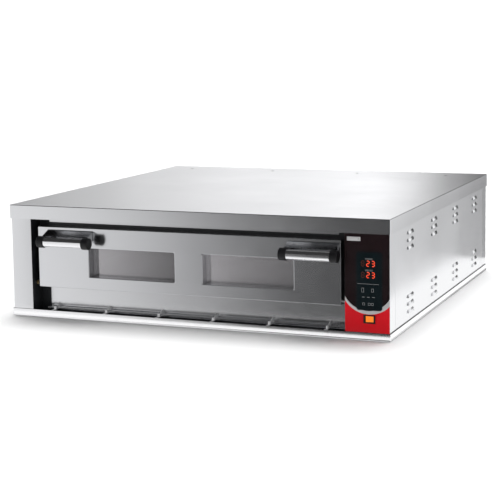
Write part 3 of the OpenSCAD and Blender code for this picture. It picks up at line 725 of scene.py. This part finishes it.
bm = bmesh.new()
verts = bmesh.ops.create_grid(bm, x_segments=1, y_segments=1, size=0.5)["verts"]
bmesh.ops.rotate(bm, cent=(0, 0, 0), matrix=Matrix.Rotation(math.pi / 2, 3, "X"), verts=verts)
size = face_high - face_low
bmesh.ops.scale(bm, vec=(size.x, 1, size.z), verts=verts)
middle = (face_low + face_high) / 2
bmesh.ops.translate(bm, vec=(middle.x, face_low.y, middle.z), verts=verts)
for cut in [(x, 0) for pair in window_x for x in pair] + [(z, 2) for z in window_z]:
    normal = Vector((0, 0, 0))
    normal[cut[1]] = 1.0
    bmesh.ops.bisect_plane(bm, geom=bm.verts[:] + bm.edges[:] + bm.faces[:],
                           plane_co=normal * cut[0], plane_no=normal)
gone = [f for f in bm.faces if in_window(f.calc_center_median())]
bmesh.ops.delete(bm, geom=gone, context="FACES")
rims = [e for e in bm.edges if len(e.link_faces) == 1]
outer, inner = [], []
for edge in rims:
    spot = (edge.verts[0].co + edge.verts[1].co) / 2
    at_side = min(spot.x - face_low.x, face_high.x - spot.x) < MM
    at_end = min(spot.z - face_low.z, face_high.z - spot.z) < MM
    (outer if at_side or at_end else inner).append(edge)
turn_back(bm, outer, face_high.y - face_low.y)
turn_back(bm, inner, glass_low.y - face_low.y)
bends = corners(bm)
window_corners = [e for e in bends if abs(e.verts[0].co.y - e.verts[1].co.y) > MM
                  and liner_low.x < e.verts[0].co.x < liner_high.x]
round_edges(bm, window_corners, 4 * MM, 4)
round_edges(bm, corners(bm), 2.5 * MM, 4)
make("door_skin", bm, FINISH["door_stainless"], "door",
     ["door_outer", "window_liners"], wall=SHEET, outward=(0, -1, 0))
print("door skin", [round(v / MM) for v in size], "mm with windows at", window_x)

# %% [markdown]
# ## The handles
#
# Each handle is a bright bar between two round black caps. A folded hood springs from the door's
# face and ends over the caps, and its two cheeks are cut out round them. A cheek's outline is
# closed by an arc that is spun about the bar's own axis.

# %% Handles
HOOD_SHEET = 2 * MM
WRAP = math.radians(65)  # where the hood ends, measured up from the cap's back
SWEEP = WRAP * 0.9  # how far a cheek follows its cap
CAP_GAP = 0.3 * MM
caps_low, caps_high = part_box("handle_caps")
CAP_R = (caps_high.z - caps_low.z) / 2
CAP_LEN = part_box("left_handle_bar")[0].x - caps_low.x


def cheek(bm, start, end, face_y, top, foot, bar):
    """A plate between the door and a cap, hollowed round the cap."""
    reach = CAP_R + CAP_GAP
    lip = (start, bar.y + reach * math.cos(WRAP), bar.z + reach * math.sin(WRAP))
    first = bm.verts.new(lip)
    spun = bmesh.ops.spin(bm, geom=[first], cent=(start, bar.y, bar.z), axis=(1, 0, 0),
                          angle=-SWEEP, steps=10)["geom_last"]
    last = next(v for v in spun if isinstance(v, bmesh.types.BMVert))
    above = bm.verts.new((start, lip[1], lip[2] + HOOD_SHEET))
    corner = bm.verts.new((start, face_y, top))
    below = bm.verts.new((start, face_y, foot))
    for pair in ((last, below), (below, corner), (corner, above), (above, first)):
        bm.edges.new(pair)
    loop = [e for e in bm.edges if not e.link_faces]
    face = bmesh.ops.contextual_create(bm, geom=loop)["faces"][0]
    made = bmesh.ops.extrude_face_region(bm, geom=[face])["geom"]
    far = [v for v in made if isinstance(v, bmesh.types.BMVert)]
    bmesh.ops.translate(bm, vec=(end - start, 0, 0), verts=far)


caps = bmesh.new()
for side in ("left", "right"):
    low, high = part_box(side + "_handle_hood")
    bar_low, bar_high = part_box(side + "_handle_bar")
    bar = (bar_low + bar_high) / 2
    lip_z = bar.z + (CAP_R + 2 * CAP_GAP) * math.sin(WRAP) + HOOD_SHEET
    line = [(high.y, low.z), (high.y, high.z), (low.y, lip_z)]
    make(side + "_hood", folded(line, "X", low.x, high.x, 3 * MM), FINISH["door_stainless"],
         "door", [side + "_handle_hood"], wall=HOOD_SHEET, outward=(0, -0.3, 1))
    bm = bmesh.new()
    for start in (low.x, high.x - HOOD_SHEET):
        cheek(bm, start, start + HOOD_SHEET, high.y - MM, high.z - MM, low.z, bar)
    make(side + "_cheeks", bm, FINISH["door_stainless"], "door")
    bm = bmesh.new()
    rod(bm, "X", bar, bar_high.x - bar_low.x, (bar_high.z - bar_low.z) / 2, 0.5 * MM)
    make(side + "_bar", bm, FINISH["bright_stainless"], "door",
         [side + "_handle_bar"])
    for x in (bar_low.x - CAP_LEN / 2, bar_high.x + CAP_LEN / 2):
        rod(caps, "X", (x, bar.y, bar.z), CAP_LEN, CAP_R, 3 * MM)
    print(side, "hood", round((high.x - low.x) / MM), "mm long, cap", round(CAP_LEN / MM), "mm")
make("end_caps", caps, FINISH["black_plastic"], "door", ["handle_caps"])

# %% [markdown]
# ## The control panel
#
# The display is a smoked lens with round corners. Seven-segment figures glow on it, and dim marks are
# printed beside them: bars over the figures, a line, and a few plain key outlines.

# %% Display
lens_low, lens_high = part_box("display_lens")
bm = bmesh.new()
made = block(bm, lens_low + Vector((0, 0.3 * MM, 0)), lens_high)
round_edges(bm, running(made, 1), 8 * MM, 6)
front = [e for e in corners(bm) if max(v.co.y for v in e.verts) < lens_high.y - MM / 2]
round_edges(bm, front, 0.5 * MM, 3)
make("lens", bm, FINISH["display_glass"], "cabinet", ["display_lens"])
mark_y = (lens_low.y + 0.1 * MM, lens_low.y + 0.5 * MM)
STROKES = {"2": "abged", "3": "abgcd", "8": "abcdefg"}
STROKE_T = 2.4 * MM
LINE = 1.2  # the rest of the display is laid out in millimetres
MIDDLE = (lens_low.x + lens_high.x) / 2 / MM
TOP = lens_high.z / MM
FIGURE_DROPS = (37, 73)  # from the top of the lens down to the middle of each row of figures


def mark(bm, x0, x1, z0, z1):
    """A flat printed mark, placed from the middle of the lens and up from its top."""
    block(bm, ((MIDDLE + x0) * MM, mark_y[0], (TOP + z0) * MM),
          ((MIDDLE + x1) * MM, mark_y[1], (TOP + z1) * MM))


def ring(bm, x, z, wide, high, line=LINE):
    """A printed outline of a rectangle around a middle point."""
    a, b = wide / 2, high / 2
    mark(bm, x - a, x + a, z + b - line, z + b)
    mark(bm, x - a, x + a, z - b, z - b + line)
    mark(bm, x - a, x - a + line, z - b + line, z + b - line)
    mark(bm, x + a - line, x + a, z - b + line, z + b - line)


def figure(bm, sign, left, drop, wide=11 * MM, high=19 * MM):
    """A seven-segment figure, its left edge and its middle placed like a mark's."""
    x, z = (MIDDLE + left) * MM, (TOP - drop) * MM
    half, t = high / 2, STROKE_T
    bars = {"a": (x + t, z + half - t, wide - 2 * t, t), "g": (x + t, z - t / 2, wide - 2 * t, t),
            "d": (x + t, z - half, wide - 2 * t, t), "b": (x + wide - t, z + t / 2, t, half - 1.5 * t),
            "f": (x, z + t / 2, t, half - 1.5 * t), "e": (x, z - half + t, t, half - 1.5 * t),
            "c": (x + wide - t, z - half + t, t, half - 1.5 * t)}
    for stroke in STROKES[sign]:
        left_edge, bottom, w, h = bars[stroke]
        block(bm, (left_edge, mark_y[0], bottom), (left_edge + w, mark_y[1], bottom + h))


lit, ghost, marks = bmesh.new(), bmesh.new(), bmesh.new()
for drop in FIGURE_DROPS:
    figure(ghost, "8", -26, drop)
    figure(lit, "2", -9, drop)
    figure(lit, "3", 7.5, drop)
    for lift in (13, 16):
        mark(marks, -13, 12, lift - drop, lift - drop + 1.1)
mark(marks, -39, 31, -101.8, -101.8 + LINE)
ring(marks, -21, -121, 8, 14)
ring(marks, 11, -121, 8, 11)
for x in (-19, -3, 14):
    mark(marks, x - 4, x + 4, -144, -142)
for x in (-18, 0, 10):
    ring(marks, x, -165, 8, 8)
make("display_figures", lit, FIGURE_LIGHT, "cabinet")
make("display_ghosts", ghost, GHOST_LIGHT, "cabinet")
make("display_marks", marks, DIM_PRINT, "cabinet")
print("lens", [round(v / MM, 1) for v in lens_high - lens_low], "mm, figures 19 mm tall")
